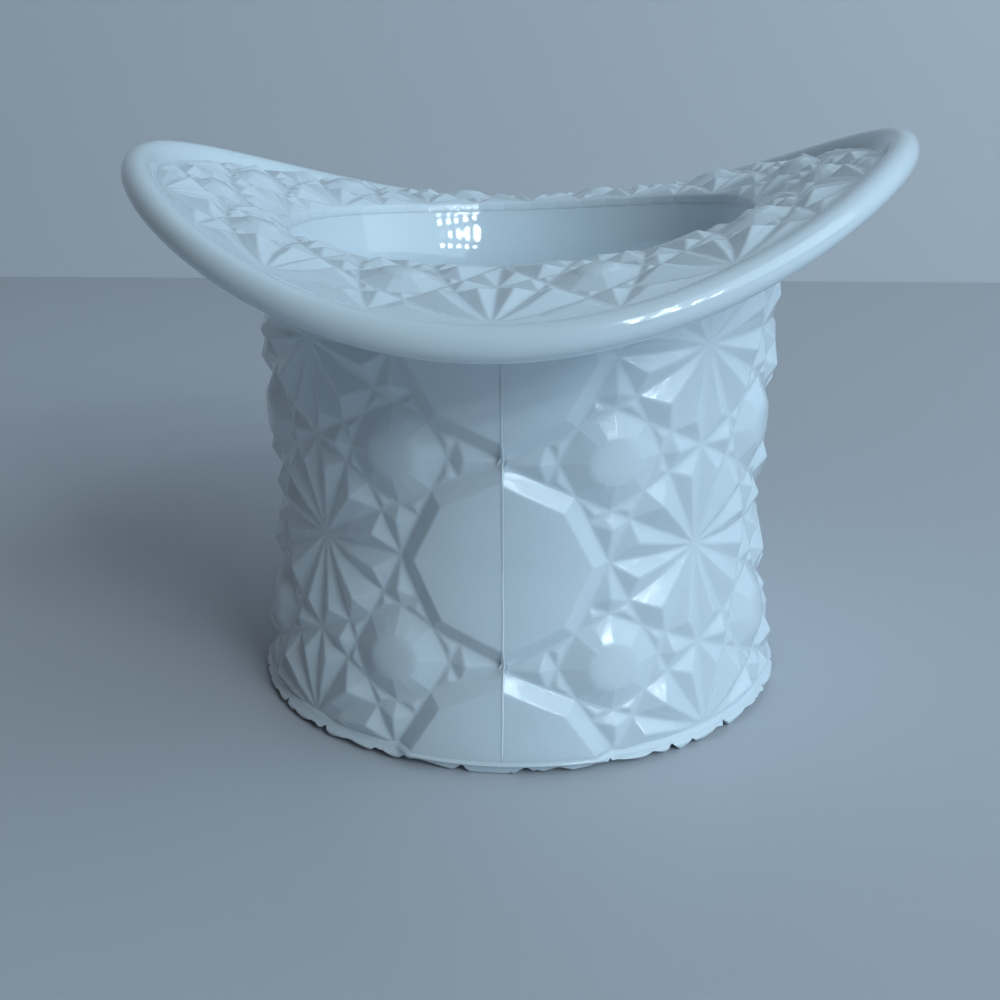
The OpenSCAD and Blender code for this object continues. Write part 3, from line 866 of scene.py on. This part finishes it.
# the side is flush with the plain panels and drawn in under the stars
column = (angles + math.pi / 2) * hat["columns"] / (2 * math.pi)
fromPanel = np.abs(np.mod(column + tileColumns / 2, tileColumns) - tileColumns / 2)
panelShare = ease((0.5 - fromPanel) / footLook["panelEdge"])
panelTop, starTop = hat["footR"] + hat["footFlare"], hat["footGrooveR"] + footLook["meet"]
top = panelShare * panelTop + (1 - panelShare) * starTop
bandR, bandZ, sideRings = footLook["bandR"], footLook["bandZ"], footLook["sideRings"]
for k in sideRings:
    z = rim + (hat["footH"] - rim) * k
    low, high = np.clip(z / bandZ, 0, 1), ease((z - bandZ) / (hat["footH"] - bandZ))
    r = hat["footR"] + (bandR - hat["footR"]) * low + (top - bandR) * high
    rings.append(ring(angles, r - (footLook["lowIn"] if k == sideRings[0] else 0), z))
tuckIn, tuckUp = footLook["tuck"]
rings.append(ring(angles, r - tuckIn, hat["footH"] + tuckUp))
shown = len(rings)
rings += [ring(angles, r, hat["footH"] + tuckUp) for r in (footLook["backR"], 0.0)]
foot = ringMesh("foot", rings)
hideFrom(foot, shown * footLook["turns"])
closedPoles(foot)
piece("footBand", outward(foot, lambda c: -toAxis(c)), pressedGlass, "pressed_glass", "foot")
print("pieces:", [o.name for o in pieces])


def sharedNormals(objects):
    # area-weighted normals over all the pieces together, so that shading runs on across their joints
    samePlace, noLength = 2e-6, 1e-14
    table, found = {}, []
    for o in objects:
        co = coordinates(o.data)
        keys = [tuple(k) for k in np.round(co / samePlace).astype(int)]
        back = o.data.attributes.get("backFace")
        seenSum, backSum = np.zeros((len(co), 3)), np.zeros((len(co), 3))
        for p in o.data.polygons:
            n = np.array(p.normal) * p.area
            sums = backSum if back and back.data[p.index].value else seenSum
            for i in p.vertices:
                sums[i] += n
        for k, s in zip(keys, seenSum):
            table[k] = table.get(k, 0) + s
        found.append((keys, backSum))
    for o, (keys, backSum) in zip(objects, found):
        normals = np.array([table[k] for k in keys])
        none = np.linalg.norm(normals, axis=1) < noLength
        normals[none] = backSum[none]
        normals /= np.maximum(np.linalg.norm(normals, axis=1), noLength)[:, None]
        o.data.normals_split_custom_set_from_vertices([tuple(n) for n in normals])


sharedNormals(pieces)

# floor, backdrop, light and camera, in metres
stageLook = {"floor": (0.53, 0.55, 0.59), "wall": (0.70, 0.74, 0.80), "roughness": 0.45,
             "reach": 3, "wallY": 0.273, "wallH": 2.5,
             "world": (1.0, 0.80, 0.64), "worldLevel": 0.06, "sky": (0.17, 0.17, 0.17)}


def stagePlane(name, corners, color):
    mesh = bpy.data.meshes.new(name)
    mesh.from_pydata(corners, [], [(0, 1, 2, 3)])
    o = linked(name, mesh)
    paint = bpy.data.materials.new(name + "Paint")
    paint.use_nodes = True
    shader = paint.node_tree.nodes["Principled BSDF"]
    shader.inputs["Base Color"].default_value = (*color, 1)
    shader.inputs["Roughness"].default_value = stageLook["roughness"]
    mesh.materials.append(paint)


x, y, z = stageLook["reach"], stageLook["wallY"], stageLook["wallH"]
stagePlane("floor", [(-x, -x, 0), (x, -x, 0), (x, y, 0), (-x, y, 0)], stageLook["floor"])
stagePlane("backdrop", [(-x, y, 0), (x, y, 0), (x, y, z), (-x, y, z)], stageLook["wall"])

scene = bpy.context.scene
scene.view_settings.view_transform = "Standard"
world = bpy.data.worlds.new("room")
world.use_nodes = True
scene.world = world
nodes, link = world.node_tree.nodes, world.node_tree.links.new
background = nodes["Background"]
background.inputs["Color"].default_value = (*stageLook["world"], 1)
background.inputs["Strength"].default_value = stageLook["worldLevel"]
sky = nodes.new("ShaderNodeBackground")  # what the camera and reflections see
sky.inputs["Color"].default_value = (*stageLook["sky"], 1)
path, mix = nodes.new("ShaderNodeLightPath"), nodes.new("ShaderNodeMixShader")
straight = path.outputs["Is Camera Ray"]
for name in ("Is Glossy Ray", "Is Transmission Ray"):
    either = nodes.new("ShaderNodeMath")
    either.operation = "MAXIMUM"
    link(straight, either.inputs[0])
    link(path.outputs[name], either.inputs[1])
    straight = either.outputs[0]
link(straight, mix.inputs[0])
link(background.outputs[0], mix.inputs[1])
link(sky.outputs[0], mix.inputs[2])
link(mix.outputs[0], nodes["World Output"].inputs["Surface"])


def lamp(name, at, to, size, power, color):
    data = bpy.data.lights.new(name, "AREA")
    data.shape, data.size, data.size_y = "RECTANGLE", size[0], size[1]
    data.energy, data.color = power, color
    o = linked(name, data)
    o.location = at
    o.rotation_euler = (Vector(to) - Vector(at)).to_track_quat("-Z", "Y").to_euler()


windowLook = {
    "front": {"place": (0.52, -0.80, 0.76), "panes": (2, 3), "pane": (0.07, 0.08), "gap": 0.08,
              "power": 0.36},
    "side": {"place": (0.52, -0.62, 0.43), "panes": (5, 2), "pane": (0.034, 0.042), "gap": 0.043,
             "power": 0.13},
    "to": (0, 0, 0.04), "color": (0.76, 0.92, 1.0)}
aim = Vector(windowLook["to"])
for name in ("front", "side"):
    look = windowLook[name]
    middle = Vector(look["place"])
    across = (aim - middle).cross(Vector((0, 0, 1))).normalized()
    rise = across.cross(aim - middle).normalized()
    for i in range(look["panes"][0]):
        for j in range(look["panes"][1]):
            x = (i - (look["panes"][0] - 1) / 2) * (look["pane"][0] + look["gap"])
            y = (j - (look["panes"][1] - 1) / 2) * (look["pane"][1] + look["gap"])
            at = middle + across * x + rise * y
            lamp("%sPane%d%d" % (name, i, j), at, at + aim - middle, look["pane"], look["power"],
                 windowLook["color"])
roomLook = {"place": (1.05, -0.43, 0.86), "size": (1.8, 1.2), "power": 12.5, "color": (0.64, 0.85, 1.0)}
lamp("room", roomLook["place"], windowLook["to"], roomLook["size"], roomLook["power"], roomLook["color"])

view = {"place": (0.00787, -0.14114, 0.06634), "heading": 4.08, "tilt": 71.3, "roll": -0.31,
        "sensor": 36, "lens": 46.8, "near": 0.005}
camera = bpy.data.cameras.new("camera")
camera.sensor_fit, camera.sensor_width, camera.lens = "HORIZONTAL", view["sensor"], view["lens"]
camera.clip_start = view["near"]
aimed = Matrix.Translation(view["place"])
for key, axis in (("heading", "Z"), ("tilt", "X"), ("roll", "Z")):
    aimed = aimed @ Matrix.Rotation(math.radians(view[key]), 4, axis)
eye = linked("camera", camera)
eye.matrix_world = aimed
scene.camera = eye
print("scene: floor, light and camera set")
